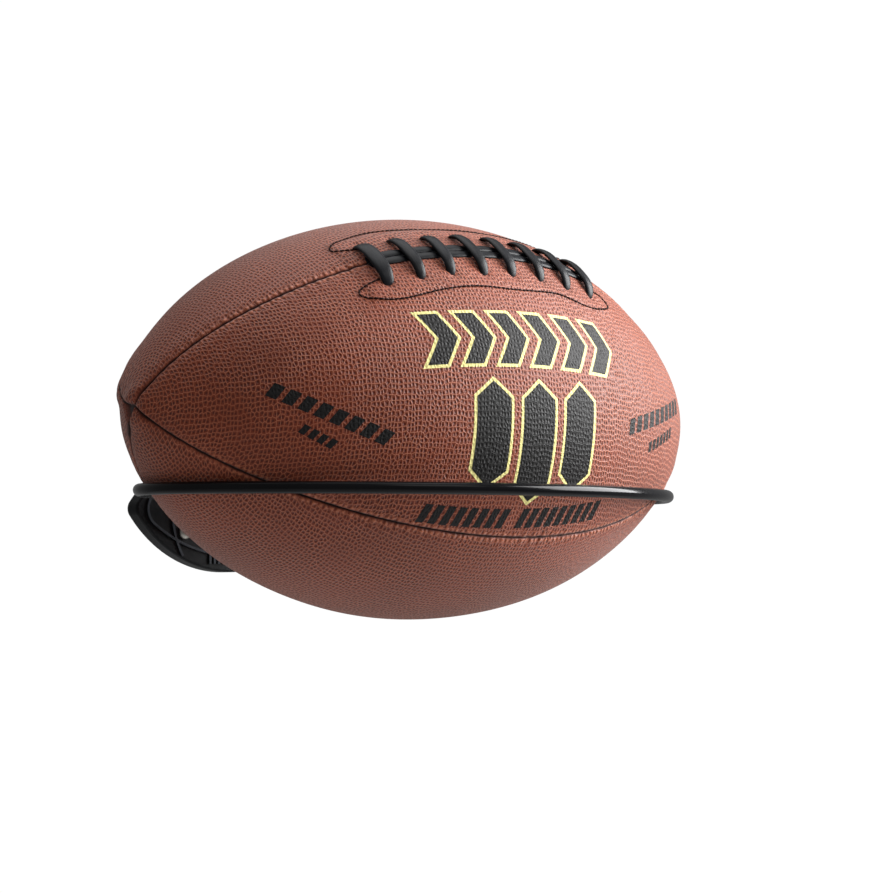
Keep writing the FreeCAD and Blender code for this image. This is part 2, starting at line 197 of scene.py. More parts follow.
class Skin:
    """Turns a place along and round the ball into a point."""

    def __init__(self, ball, lace):
        self.ball, self.lace = ball, lace
        tip_gap, samples = 0.004, 4001
        self.t = np.linspace(math.pi - tip_gap, tip_gap, samples)
        self.x, radius = self.outline(self.t)
        steps = np.hypot(np.diff(self.x), np.diff(radius))
        along = np.concatenate([[0.0], np.cumsum(steps)])
        self.half = along[-1] / 2
        self.along = along - self.half

    def outline(self, t):
        """Place along the axis and radius at a parameter."""
        return self.ball.half_length * np.cos(t), self.ball.radius * np.sin(t) ** self.ball.fullness

    def at_x(self, x):
        """Length along the skin, from the middle, at a place on the axis."""
        return np.interp(x, self.x, self.along)

    def radius(self, along):
        """Radius at a length along the skin."""
        return self.outline(np.interp(along, self.along, self.t))[1]

    def normal(self, along):
        """Outward normal in the plane of the outline: along the axis and outwards."""
        t = np.interp(along, self.along, self.t)
        power = self.ball.fullness
        out = self.ball.half_length * np.sin(t)
        axial = power * self.ball.radius * np.sin(t) ** (power - 1) * np.cos(t)
        size = np.hypot(axial, out)
        return axial / size, out / size

    def point(self, along, angle, lift=0.0):
        """Points in the frame, in metres, at a lift above the plain skin."""
        x, radius = self.outline(np.interp(along, self.along, self.t))
        axial, out = self.normal(along)
        x = x + lift * axial
        radius = np.maximum(radius + lift * out, 0.0)
        y, z = -radius * np.cos(angle), radius * np.sin(angle)
        tilt = self.ball.tilt
        turned = [x * math.cos(tilt) + z * math.sin(tilt), y, z * math.cos(tilt) - x * math.sin(tilt)]
        turned = np.broadcast_arrays(*turned)
        return np.stack([turned[i] + BALL_CENTRE[i] for i in range(3)], -1)

    def relief(self, along, angle):
        """Height of the real skin above the plain one."""
        turn = np.mod(angle - self.ball.laced_seam, TURN)
        past_seam = np.mod(turn, QUARTER)
        radius = self.radius(along)
        seam = np.minimum(past_seam, QUARTER - past_seam) * radius
        across = wrapped(turn) * radius
        to_tip = self.half - np.abs(along)
        seam_number = np.round(turn / QUARTER)
        is_tucked = np.floor(turn / QUARTER) == 1   # the lower rear panel

        height = rolled_edge(self.ball, seam, to_tip)
        uneven = swell(seam) + pleats(self.ball, along, seam, seam_number) + waves(along, angle)
        height += uneven * rising(to_tip, 6 * MM, 20 * MM)
        height += seam_pull(seam, to_tip)
        height += tip_corner(angle, to_tip) + tip_tuck(is_tucked, seam, to_tip)
        height += facing_bed(along, across) + lace_dimples(self, along, across)
        height = np.maximum(height, -0.95 * self.ball.skin)
        round_valve = wrapped(angle - self.ball.laced_seam - VALVE_FROM_LACE) * radius
        return height + valve_dimple(along, round_valve)


def rolled_edge(ball, seam, to_tip):
    """A panel's edge turned in at a seam, on a wider curve near a tip."""
    roll = ball.roll * (1 + 0.7 * bell(to_tip, 13 * MM))
    inner = np.clip(roll - seam, 0, roll)
    return np.sqrt(np.maximum(roll ** 2 - inner ** 2, 0)) - roll


def swell(seam):
    """Soft ridge beside a turned-in edge."""
    height, width, centre = 0.35 * MM, 3.2 * MM, 4.5 * MM
    return height * bell(seam, width, centre)


def pleats(ball, along, seam, seam_number):
    """Small gathers along a seam, uneven from one to the next."""
    depth, fade, start = 2.2 * ball.pucker, 3.0 * MM, 0.7 * MM
    phase = TURN * along / ball.pucker_pitch + 1.7 * seam_number
    phase += 1.1 * np.sin(along / (19 * MM) + seam_number) + 0.6 * np.sin(along / (7.1 * MM))
    gather = (0.5 + 0.5 * np.cos(phase)) ** 3
    gather *= 0.6 + 0.4 * np.sin(along / (13 * MM) + 2.1 * seam_number)
    return -depth * gather * np.exp(-seam / fade) * (1 - np.exp(-seam / start))


def waves(along, angle):
    """Broad shallow waves all over."""
    height = 0.22 * MM
    return height * np.sin(along / (31 * MM) + 2 * angle) * np.sin(3 * angle + along / (47 * MM))


def seam_pull(seam, to_tip):
    """The seams drawn in between the middle and a tip."""
    depth, width, centre, reach = 0.6 * MM, 15 * MM, 75 * MM, 30 * MM
    return -depth * bell(seam, width) * bell(to_tip, reach, centre)


def tip_corner(angle, to_tip):
    """The fuller corner behind and above a tip."""
    height, middle, spread = 2.1 * MM, math.radians(150), 0.36
    return height * bell(wrapped(angle - middle), spread) * bell(to_tip, 16 * MM, 28 * MM)


def tip_tuck(is_tucked, seam, to_tip):
    """One panel tucked in at a tip, and a raised rim on the others."""
    rim_height, tuck_depth = 1.2 * MM, 4.0 * MM
    rim = bell(to_tip, 4 * MM, 6 * MM) * rising(seam, 0, 1.5 * MM)
    tuck = falling(to_tip, 10.4 * MM, 8 * MM)
    return np.where(is_tucked, -tuck_depth * tuck, rim_height * rim)


def facing_bed(along, across):
    """The skin raised over the lace facings."""
    height, half_width, half_length = 0.5 * MM, 22 * MM, 67 * MM
    inside = falling(np.abs(across), half_width, 1.6 * MM) * falling(np.abs(along), half_length, 3 * MM)
    return height * inside * inside * (3 - 2 * inside)


def lace_dimples(skin, along, across):
    """The skin pulled in round each lace hole."""
    depth, width = 1.0 * MM, 2.3 * MM
    total = 0.0
    for place in lace_places(skin.lace):
        for side in (-1, 1):
            far = np.hypot(along - skin.at_x(place), across - side * skin.lace.reach)
            total = total - depth * bell(far, width)
    return total


def valve_dimple(along, across):
    """A flat round dimple over the valve."""
    depth, width = 0.4 * MM, 3.5 * MM
    return -depth * np.exp(-(np.hypot(along, across) / width) ** 6)


def tip_turn(skin, along, angle):
    """Angles near a tip, where the rear seam is pulled down to meet the others."""
    rear_seam, pull, spread, reach = math.radians(143.2), math.radians(30), 0.62, 26 * MM
    near = bell(skin.half - np.abs(along), reach)
    return angle + pull * bell(wrapped(angle - rear_seam), spread) * near


def lace_places(lace):
    """Place of each crossing along the ball's axis."""
    first = -lace.pitch * (lace.count - 1) / 2
    return [first + i * lace.pitch for i in range(lace.count)]

# --- mesh helpers ----------------------------------------------------------------


def mesh_piece(name, points, faces, material, uv=None, masks=None):
    """A smooth mesh object at the origin, with its uv and its masks by name."""
    mesh = bpy.data.meshes.new(name)
    mesh.from_pydata(np.asarray(points, float).reshape(-1, 3).tolist(), [], faces)
    mesh.polygons.foreach_set("use_smooth", [True] * len(mesh.polygons))
    if uv is not None:
        layer = mesh.uv_layers.new(name="Panel")
        corners = np.empty(len(mesh.loops), np.int32)
        mesh.loops.foreach_get("vertex_index", corners)
        layer.data.foreach_set("uv", np.asarray(uv, np.float32).reshape(-1, 2)[corners].ravel())
    for label, values in (masks or {}).items():
        attribute = mesh.attributes.new(label, "FLOAT", "POINT")
        attribute.data.foreach_set("value", np.asarray(values, np.float32))
    mesh.materials.append(material)
    piece = bpy.data.objects.new(name, mesh)
    bpy.context.scene.collection.objects.link(piece)
    return piece


def face_outwards(piece):
    """Point every face of a closed piece outwards."""
    work = bmesh.new()
    work.from_mesh(piece.data)
    bmesh.ops.recalc_face_normals(work, faces=work.faces)
    work.to_mesh(piece.data)
    work.free()
    return piece


def grid_faces(rows, columns, start=0, closed=False):
    """Quads of a grid, its columns joined round when it is closed."""
    faces = []
    for i in range(rows - 1):
        for j in range(columns if closed else columns - 1):
            k = (j + 1) % columns
            a, b = start + i * columns, start + (i + 1) * columns
            faces.append((a + j, a + k, b + k, b + j))
    return faces


def shell_faces(rows, columns):
    """Two facing grids and the walls between their borders."""
    second = rows * columns
    outer = grid_faces(rows, columns)
    inner = [tuple(second + v for v in reversed(face)) for face in outer]
    border = list(range(columns))
    border += [i * columns + columns - 1 for i in range(1, rows)]
    border += [(rows - 1) * columns + j for j in range(columns - 2, -1, -1)]
    border += [i * columns for i in range(rows - 2, 0, -1)]
    walls = []
    for a, b in zip(border, border[1:] + border[:1]):
        walls.append((b, a, second + a, second + b))
    return outer + inner + walls


def tube_faces(rings, around, start=0):
    """A closed tube with both ends capped."""
    faces = grid_faces(rings, around, start, closed=True)
    faces.append(tuple(start + j for j in reversed(range(around))))
    faces.append(tuple(start + (rings - 1) * around + j for j in range(around)))
    return faces

# --- shader helpers --------------------------------------------------------------


def add_node(tree, kind, inputs=None, **settings):
    """A node with its settings and inputs; an input is a value or another node's socket."""
    node = tree.nodes.new(kind)
    for key, value in settings.items():
        setattr(node, key, value)
    for key, value in (inputs or {}).items():
        if isinstance(value, bpy.types.NodeSocket):
            tree.links.new(value, node.inputs[key])
        else:
            node.inputs[key].default_value = value
    return node


def maths(tree, operation, *values, clamp=False):
    """A Math node's output."""
    return add_node(tree, "ShaderNodeMath", dict(enumerate(values)), operation=operation,
                    use_clamp=clamp).outputs[0]


def smooth_range(tree, value, low, high, out_low=0.0, out_high=1.0):
    """A value mapped smoothly from one range to another."""
    inputs = {"Value": value, "From Min": low, "From Max": high, "To Min": out_low, "To Max": out_high}
    return add_node(tree, "ShaderNodeMapRange", inputs, interpolation_type="SMOOTHSTEP").outputs[0]


def vector_maths(tree, operation, inputs):
    """A Vector Math node's output."""
    return add_node(tree, "ShaderNodeVectorMath", inputs, operation=operation).outputs[0]


def mix_colour(tree, factor, first, second):
    """A colour mix's output. Its colours go in at sockets 6 and 7 of a Mix node, and come out at 2."""
    inputs = {0: factor, 6: first, 7: second}
    return add_node(tree, "ShaderNodeMix", inputs, data_type="RGBA").outputs[2]


def object_place(tree):
    """Place on the piece, in metres."""
    return add_node(tree, "ShaderNodeTexCoord").outputs["Object"]


def panel_uv(tree):
    """Place on the skin or the lace, in metres along and across."""
    return add_node(tree, "ShaderNodeUVMap", uv_map="Panel").outputs[0]


def skin_mask(tree, name):
    """A mask that a panel's mesh carries."""
    return add_node(tree, "ShaderNodeAttribute", attribute_name=name).outputs["Fac"]


def new_group(name, inputs, outputs):
    """A shader node group of a vector and named values; returns it with its inner ends."""
    group = bpy.data.node_groups.new(name, "ShaderNodeTree")
    group.interface.new_socket("Vector", in_out="INPUT", socket_type="NodeSocketVector")
    for label, default in inputs.items():
        socket = group.interface.new_socket(label, in_out="INPUT", socket_type="NodeSocketFloat")
        socket.default_value = default
    for label in outputs:
        group.interface.new_socket(label, in_out="OUTPUT", socket_type="NodeSocketFloat")
    return group, group.nodes.new("NodeGroupInput"), group.nodes.new("NodeGroupOutput")


def pebble_group():
    """Pebbled skin: pits with painted shade in a net of ridges with a painted highlight, smoothed out
    beside a seam.
    """
    name = "Pebbled skin"
    if name in bpy.data.node_groups:
        return bpy.data.node_groups[name]
    group, start, end = new_group(name, {"Pebbles": 430.0, "Seam": 0.0}, ("Pit shade", "Ridge highlight", "Height"))
    squeeze, wander = (1.0, 0.76, 1.0), 1.6 * MM
    place = vector_maths(group, "MULTIPLY", {0: start.outputs["Vector"], 1: squeeze})
    warp = add_node(group, "ShaderNodeTexNoise", {"Vector": place, "Scale": 90.0, "Detail": 1.0})
    shift = vector_maths(group, "SUBTRACT", {0: warp.outputs["Color"], 1: (0.5, 0.5, 0.5)})
    shift = vector_maths(group, "SCALE", {0: shift, "Scale": wander})
    cell = {"Vector": vector_maths(group, "ADD", {0: place, 1: shift}), "Scale": start.outputs["Pebbles"],
            "Randomness": 0.55}
    centre = add_node(group, "ShaderNodeTexVoronoi", cell, voronoi_dimensions="2D", feature="F1")
    border = add_node(group, "ShaderNodeTexVoronoi", cell, voronoi_dimensions="2D",
                      feature="DISTANCE_TO_EDGE")
    fine = add_node(group, "ShaderNodeTexNoise", {"Vector": place, "Scale": 2600.0, "Detail": 2.0})
    patch = add_node(group, "ShaderNodeTexNoise", {"Vector": place, "Scale": 60.0, "Detail": 2.0})
    # The pit and ridge masks paint shade into the pits and a highlight onto the ridges; they also shape the
    # bump.
    pit_shade = smooth_range(group, centre.outputs["Distance"], 0.06, 0.37, 1.0, 0.0)
    ridge_highlight = smooth_range(group, border.outputs["Distance"], 0.0, 0.15, 1.0, 0.0)
    flat = maths(group, "SUBTRACT", 1.0, start.outputs["Seam"], clamp=True)
    depth = maths(group, "MULTIPLY", flat, smooth_range(group, patch.outputs[0], 0.3, 0.7, 0.65, 1.0))
    pit_shade = maths(group, "MULTIPLY", pit_shade, depth)
    ridge_highlight = maths(group, "MULTIPLY", ridge_highlight, depth)
    high = maths(group, "SUBTRACT", maths(group, "MULTIPLY", ridge_highlight, 0.55), pit_shade)
    high = maths(group, "ADD", high, maths(group, "MULTIPLY", fine.outputs[0], 0.22))
    group.links.new(pit_shade, end.inputs["Pit shade"])
    group.links.new(ridge_highlight, end.inputs["Ridge highlight"])
    group.links.new(high, end.inputs["Height"])
    return group


def grain_group():
    """Fine surface grain and broad patches, for every finish but the cloth."""
    name = "Surface grain"
    if name in bpy.data.node_groups:
        return bpy.data.node_groups[name]
    group, start, end = new_group(name, {"Grain": 900.0, "Patches": 25.0}, ("Height", "Patch"))
    for scale, detail, result in (("Grain", 3.0, "Height"), ("Patches", 2.0, "Patch")):
        inputs = {"Vector": start.outputs["Vector"], "Scale": start.outputs[scale], "Detail": detail}
        noise = add_node(group, "ShaderNodeTexNoise", inputs)
        group.links.new(noise.outputs[0], end.inputs[result])
    return group


def use_group(tree, group, inputs):
    """Place a node group in a material."""
    return add_node(tree, "ShaderNodeGroup", inputs, node_tree=group)


def start_material(name, **values):
    """A node material; values are set on the shader's own sockets."""
    material = bpy.data.materials.new(name)
    material.use_nodes = True
    shader = material.node_tree.nodes["Principled BSDF"]
    for key, value in values.items():
        shader.inputs[key.replace("_", " ").title().replace("Ior", "IOR")].default_value = value
    return material, material.node_tree, shader


def bump(tree, shader, height, strength, distance):
    """Feed a height to the shader's normal."""
    node = add_node(tree, "ShaderNodeBump", {"Height": height, "Strength": strength, "Distance": distance})
    tree.links.new(node.outputs[0], shader.inputs["Normal"])


def rgba(colour, scale=1.0):
    """A colour with alpha, made darker or lighter."""
    return tuple(min(c * scale, 1.0) for c in colour) + (1.0,)


def two_tone(tree, patch, colour, dark, light):
    """A colour that drifts from darker to lighter over broad patches."""
    return mix_colour(tree, smooth_range(tree, patch, 0.3, 0.7), rgba(colour, dark), rgba(colour, light))


def skin_material(finish):
    """Pebbled reddish-brown skin, with painted shade in its pits, its seams and the tucked tip's hollow,
    and a painted highlight on its ridges.
    """
    material, tree, shader = start_material("Ball skin", roughness=0.5, specular_ior_level=0.36,
                                            sheen_weight=0.2, sheen_roughness=0.5)
    uv, seam = panel_uv(tree), skin_mask(tree, "seam")
    pebbles = use_group(tree, pebble_group(), {"Vector": uv, "Pebbles": 1 / finish.pebble, "Seam": seam})
    grain = use_group(tree, grain_group(), {"Vector": object_place(tree), "Grain": 300.0, "Patches": 22.0})
    ticks = add_node(tree, "ShaderNodeTexWave", {"Vector": uv, "Scale": 0.1 * math.pi / finish.tick,
                                                 "Distortion": 4.0, "Detail Scale": 1.5})
    ticks = maths(tree, "MULTIPLY", ticks.outputs["Fac"], skin_mask(tree, "beside"))
    base = two_tone(tree, grain.outputs["Patch"], finish.skin, 0.88, 1.12)
    # Painted shade in the pits, painted highlight on the ridges, and the seam ticks in the same light
    # colour.
    for mask, share, colour in ((pebbles.outputs["Pit shade"], 0.85, finish.pit_shade),
                                (pebbles.outputs["Ridge highlight"], 0.68, finish.ridge_highlight),
                                (ticks, 0.75, finish.ridge_highlight)):
        base = mix_colour(tree, maths(tree, "MULTIPLY", mask, share), base, rgba(colour))
    # Painted shade: the seams and the tucked tip's hollow are coloured near black.
    base = mix_colour(tree, smooth_range(tree, seam, 0.35, 1.0), base, rgba(finish.pit_shade, 0.3))
    tree.links.new(base, shader.inputs["Base Color"])
    rough = maths(tree, "ADD", 0.46, maths(tree, "MULTIPLY", pebbles.outputs["Pit shade"], 0.3))
    tree.links.new(maths(tree, "MAXIMUM", rough, seam), shader.inputs["Roughness"])
    height = maths(tree, "ADD", pebbles.outputs["Height"], maths(tree, "MULTIPLY", ticks, 2.5))
    bump(tree, shader, height, 0.7, 0.4 * MM)
    return material


def ink_material(name, colour, finish, roughness):
    """Print that lies in the pebbles of the skin."""
    material, tree, shader = start_material(name, roughness=roughness, specular_ior_level=0.25)
    pebbles = use_group(tree, pebble_group(), {"Vector": panel_uv(tree), "Pebbles": 1 / finish.pebble})
    # Painted shade: the ink is darker in the pebbles' pits.
    base = mix_colour(tree, maths(tree, "MULTIPLY", pebbles.outputs["Pit shade"], 0.3), rgba(colour),
                      rgba(colour, 0.35))
    tree.links.new(base, shader.inputs["Base Color"])
    bump(tree, shader, pebbles.outputs["Height"], 0.45, 0.5 * MM)
    return material


def grained_material(name, colour, roughness, grain=900.0, patches=25.0, strength=0.2, **values):
    """A plain finish with fine grain and a little variation in tone and gloss."""
    material, tree, shader = start_material(name, roughness=roughness, **values)
    place = object_place(tree)
    marks = use_group(tree, grain_group(), {"Vector": place, "Grain": grain, "Patches": patches})
    base = two_tone(tree, marks.outputs["Patch"], colour, 0.85, 1.2)
    tree.links.new(base, shader.inputs["Base Color"])
    rough = smooth_range(tree, marks.outputs["Height"], 0.3, 0.7, roughness * 0.85, roughness * 1.15)
    tree.links.new(rough, shader.inputs["Roughness"])
    bump(tree, shader, marks.outputs["Height"], strength, 0.2 * MM)
    return material


RIB_SIDE, RIB_TOP = 7.2 * MM, 7.6 * MM   # how far in front of the wall


def moulding_material(finish):
    """Black moulding, with a painted highlight on the tops of its ribs."""
    material = grained_material("Black moulding", finish.moulding, 0.38, grain=1100.0, patches=60.0,
                                strength=0.2, specular_ior_level=0.16)
    tree = material.node_tree
    shader = tree.nodes["Principled BSDF"]
    depth = add_node(tree, "ShaderNodeSeparateXYZ", {0: object_place(tree)}).outputs["Y"]
    raised = smooth_range(tree, depth, -RIB_SIDE, -RIB_TOP)
    tone = shader.inputs["Base Color"].links[0].from_socket
    # Painted highlight: the rib tops are coloured much lighter.
    rib_highlight = mix_colour(tree, maths(tree, "MULTIPLY", raised, 0.8), tone, rgba(finish.moulding, 9.0))
    tree.links.new(rib_highlight, shader.inputs["Base Color"])
    return material


def cloth_material(name, colour, threads):
    """Plain woven cloth."""
    material, tree, shader = start_material(name, roughness=0.85, sheen_weight=0.3)
    place = object_place(tree)
    heights = [add_node(tree, "ShaderNodeTexWave", {"Vector": place, "Scale": threads, "Distortion": 0.4},
                        bands_direction=direction).outputs["Fac"] for direction in ("X", "Z")]
    weave = maths(tree, "MAXIMUM", *heights)
    base = mix_colour(tree, weave, rgba(colour, 0.6), rgba(colour))
    tree.links.new(base, shader.inputs["Base Color"])
    bump(tree, shader, weave, 0.4, 0.2 * MM)
    return material


def give(material, *nodes):
    """Give CAD nodes a finish."""
    for name in nodes:
        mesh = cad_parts[name].data
        mesh.materials.clear()
        mesh.materials.append(material)

# --- ball ------------------------------------------------------------------------


def panel_grid(skin, columns=400, middle_rows=84):
    """Lengths along the ball, a panel's width there, and offsets from its first seam to its second."""
    beside_seam = np.array([0.0, 0.06, 0.2, 0.45, 0.8, 1.25, 1.8, 2.5, 3.4]) * MM
    full_width = 16 * MM
    along = np.linspace(-skin.half, skin.half, columns)
    width = (skin.radius(along) * QUARTER)[:, None]
    near = beside_seam[None, :] * np.minimum(1, width / full_width)
    last = near[:, -1:]
    middle = last + (width - 2 * last) * np.linspace(0, 1, middle_rows + 2)[None, 1:-1]
    offset = np.concatenate([near, middle, width - near[:, ::-1]], axis=1)
    return np.repeat(along[:, None], offset.shape[1], axis=1), width, offset


def panel_masks(skin, name, along, width, offset):
    """Masks of a panel: smooth skin with painted shade in a seam and in the tucked tip's hollow, and pulled
    stitches beside one.
    """
    from_seam = np.minimum(offset, width - offset)
    reach = (0.95 + 0.2 * np.sin(along / (2.3 * MM))) * MM
    seam = np.exp(-(from_seam / reach) ** 1.5)
    if name == "lower_rear":
        to_tip = skin.half - np.abs(along)
        # Painted shade in the hollow where this panel is tucked in at a tip.
        shaded_wedge = bell(width - offset, 3.4 * MM) * falling(to_tip, 24 * MM, 8 * MM)
        shaded_pocket = np.minimum(falling(to_tip, 14.4 * MM, 9 * MM), 0.95)
        seam = np.maximum(seam, np.maximum(shaded_wedge, shaded_pocket))
    beside = bell(from_seam, 0.8 * MM, 1.6 * MM) * rising(width, 25 * MM, 50 * MM)
    return {"seam": np.tile(seam.ravel(), 2), "beside": np.tile(beside.ravel(), 2)}


def build_panel(skin, name, start, material):
    """One quarter of the cover, a closed shell with rolled and pleated edges."""
    along, width, offset = panel_grid(skin)
    turn = offset / width * QUARTER
    angle = start + turn
    turned = tip_turn(skin, along, angle)
    outer = skin.point(along, turned, skin.relief(along, angle))
    inner = skin.point(along, turned, -1.02 * skin.ball.skin)
    across = (turn - math.pi / 4) * skin.radius(along)
    uv = np.stack([along, across], -1).reshape(-1, 2)
    points = np.concatenate([outer.reshape(-1, 3), inner.reshape(-1, 3)])
    piece = mesh_piece("cover_" + name, points, shell_faces(*offset.shape), material,
                       np.concatenate([uv, uv]), panel_masks(skin, name, along, width, offset))
    return face_outwards(piece)


def sweep(centre, side, up, width, thickness, around):
    """Rings of an oval section, flatter below, along a path."""
    turn = np.linspace(0, TURN, around, endpoint=False)
    flat = np.sign(np.cos(turn)) * np.abs(np.cos(turn)) ** 0.75
    crown = np.where(np.sin(turn) > 0, np.sin(turn), 0.75 * np.sin(turn))
    rings = (centre[:, None, :]
             + side[:, None, :] * (flat[None, :, None] * width[:, None, None] / 2)
             + up[:, None, :] * (crown[None, :, None] * thickness[:, None, None] / 2))
    return rings.reshape(-1, 3)


def path_frame(centre, up):
    """Side and up vectors along a path, from rough up vectors."""
    tangent = np.gradient(centre, axis=0)
    tangent /= np.linalg.norm(tangent, axis=1)[:, None]
    side = np.cross(tangent, up)
    side /= np.linalg.norm(side, axis=1)[:, None]
    return side, np.cross(side, tangent)


def crossing(skin, number, place):
    """Path, width and thickness of one lace over the seam, each a little different."""
    lace = skin.lace
    steps = np.linspace(-1, 1, 49)
    slide, slant, stretch = 0.35 * MM, 0.5 * MM, 0.5 * MM
    along = skin.at_x(place) + slide * math.sin(5.1 * number + 1.0) + slant * steps * math.sin(3.7 * number)
    reach = lace.reach + stretch * math.sin(2.3 * number + 0.5)
    across = reach * np.sin(steps * QUARTER * 0.97)
    arch = np.maximum(1 - np.abs(across / (reach * 1.005)) ** 3.4, 0) ** 0.62
    sunk_ends, rise = 2.3 * MM, 5.25 * MM
    lift = rise * arch - sunk_ends
    angle = skin.ball.laced_seam + across / skin.radius(along)
    centre = skin.point(along, angle, lift)
    up = skin.point(along, angle, lift + MM) - centre
    broad = 1.25 if number == 0 else 1.0
    width = broad * lace.width * (0.5 + 0.5 * np.cos(steps * QUARTER * 0.95) ** 0.8 + 0.08 * steps)
    thickness = lace.thickness * (0.8 + 0.2 * np.cos(steps * QUARTER))
    return centre, up, width, thickness


def strand(skin, side):
    """Path, width and thickness of one long strand under the crossings."""
    lace = skin.lace
    half = skin.at_x(lace.strand_half_length)
    along = np.linspace(-half, half, 181)
    hump = 0.5 + 0.5 * np.cos(TURN * along / skin.at_x(lace.pitch))
    end = falling(np.abs(along), half, 5 * MM)
    sunk_ends, rise, hump_height, thickness = 1.6 * MM, 2.55 * MM, 0.22 * MM, 1.5 * MM
    lift = rise * np.sin(end * QUARTER) + hump_height * hump - sunk_ends
    pinch, wander = 0.25 * MM, 0.15 * MM
    across = side * (lace.strand_width * 0.52 - pinch * (1 - hump)) + wander * np.sin(along / (11 * MM))
    angle = skin.ball.laced_seam + across / skin.radius(along)
    centre = skin.point(along, angle, lift)
    up = skin.point(along, angle, lift + MM) - centre
    width = lace.strand_width * (0.94 + 0.08 * hump)
    return centre, up, width, np.full_like(along, thickness)


def build_lace(skin, material):
    """The lace: crossings over two long strands, as one piece."""
    parts = [crossing(skin, i, place) for i, place in enumerate(lace_places(skin.lace))]
    parts += [strand(skin, side) for side in (-1, 1)]
    points, faces, uv, around, girth = [], [], [], 16, 10 * MM
    for centre, up, width, thickness in parts:
        side, up = path_frame(centre, up)
        start = sum(len(p) for p in points)
        points.append(sweep(centre, side, up, width, thickness, around))
        faces += tube_faces(len(centre), around, start)
        steps = np.linalg.norm(np.diff(centre, axis=0), axis=1)
        lengthwise = np.concatenate([[0], np.cumsum(steps)])
        crosswise = np.linspace(0, girth, around, endpoint=False)
        uv.append(np.stack(np.meshgrid(lengthwise, crosswise, indexing="ij"), -1).reshape(-1, 2))
    piece = mesh_piece("lace_cord", np.concatenate(points), faces, material, np.concatenate(uv))
    return face_outwards(piece)


def lace_material(finish):
    """Satin black lace with fine lengthwise grooves."""
    material, tree, shader = start_material("Lace", roughness=0.4, specular_ior_level=0.22)
    drawn_out = {"Vector": panel_uv(tree), "Scale": (0.06, 1, 1)}
    stretched = add_node(tree, "ShaderNodeMapping", drawn_out).outputs[0]
    lines = use_group(tree, grain_group(), {"Vector": stretched, "Grain": 2600.0, "Patches": 500.0})
    grain = use_group(tree, grain_group(), {"Vector": object_place(tree), "Grain": 1800.0, "Patches": 90.0})
    base = two_tone(tree, grain.outputs["Patch"], finish.lace, 0.7, 1.5)
    tree.links.new(base, shader.inputs["Base Color"])
    fine = maths(tree, "MULTIPLY", grain.outputs["Height"], 0.5)
    height = maths(tree, "ADD", lines.outputs["Height"], fine)
    bump(tree, shader, height, 0.35, 0.25 * MM)
    return material


# Outlines of the two facings, in millimetres along and across the laced seam. The front one is uneven.
FACING_FRONT = (
    (-59.0, 10.8), (-67.5, 12.2), (-71.4, 14.8), (-67.2, 18.9), (-56.7, 22.8), (-45.4, 23.2), (-32.9, 21.3),
    (-9.9, 21.1), (3.2, 23.0), (19.0, 21.5), (32.0, 20.4), (42.8, 22.2), (54.0, 22.0), (68.6, 15.4),
    (68.9, 9.4), (57.0, 8.6))
REAR_HALF = (
    (57.0, 10.8), (64.5, 12.4), (69.0, 15.8), (62.5, 20.7), (53.0, 23.3), (41.0, 25.0), (21.4, 22.2),
    (8.3, 20.8))
FACING_REAR = tuple((-along, across) for along, across in REAR_HALF) + REAR_HALF[::-1]


def facing_line(skin, corners, side):
    """Stitched line round one facing, as points on the skin."""
    curve = bpy.data.curves.new("facing_line", "CURVE")
    spline = curve.splines.new("NURBS")
    spline.points.add(len(corners) - 1)
    for point, (along, across) in zip(spline.points, corners):
        point.co = (along * MM, side * across * MM, 0, 1)
    spline.order_u = 4
    spline.use_endpoint_u = True
    spline.resolution_u = 12
    drawn = bpy.data.objects.new("facing_line", curve)
    flat = bpy.data.meshes.new_from_object(drawn)
    plan = np.array([v.co[:2] for v in flat.vertices])
    bpy.data.objects.remove(drawn)
    bpy.data.curves.remove(curve)
    bpy.data.meshes.remove(flat)
    along, across = plan[:, 0], plan[:, 1]
    angle = skin.ball.laced_seam + across / skin.radius(along)
    return skin.point(along, angle, skin.relief(along, angle) + 0.1 * MM)


def stitch_tree(material):
    """Geometry nodes: one rounded stitch after another along a line."""
    tree = bpy.data.node_groups.new("Stitches", "GeometryNodeTree")
    tree.interface.new_socket("Geometry", in_out="INPUT", socket_type="NodeSocketGeometry")
    for label in ("Pitch", "Stitch", "Thread"):
        tree.interface.new_socket(label, in_out="INPUT", socket_type="NodeSocketFloat")
    tree.interface.new_socket("Geometry", in_out="OUTPUT", socket_type="NodeSocketGeometry")
    start, end = tree.nodes.new("NodeGroupInput"), tree.nodes.new("NodeGroupOutput")
    curve = add_node(tree, "GeometryNodeMeshToCurve", {"Mesh": start.outputs["Geometry"]})
    spaced = add_node(tree, "GeometryNodeResampleCurve",
                      {"Curve": curve.outputs[0], "Length": start.outputs["Pitch"]}, mode="LENGTH")
    ball = add_node(tree, "GeometryNodeMeshUVSphere", {"Segments": 8, "Rings": 6, "Radius": 1.0})
    tangent = add_node(tree, "GeometryNodeInputTangent")
    turn = add_node(tree, "FunctionNodeAlignEulerToVector", {"Vector": tangent.outputs[0]}, axis="Z")
    half = maths(tree, "MULTIPLY", start.outputs["Stitch"], 0.5)
    size = add_node(tree, "ShaderNodeCombineXYZ",
                    {"X": start.outputs["Thread"], "Y": start.outputs["Thread"], "Z": half})
    placed = add_node(tree, "GeometryNodeInstanceOnPoints",
                      {"Points": spaced.outputs[0], "Instance": ball.outputs[0],
                       "Rotation": turn.outputs[0], "Scale": size.outputs[0]})
    real = add_node(tree, "GeometryNodeRealizeInstances", {"Geometry": placed.outputs[0]})
    smooth = add_node(tree, "GeometryNodeSetShadeSmooth", {"Geometry": real.outputs[0]})
    dressed = add_node(tree, "GeometryNodeSetMaterial", {"Geometry": smooth.outputs[0]})
    dressed.inputs["Material"].default_value = material
    tree.links.new(dressed.outputs[0], end.inputs[0])
    return tree


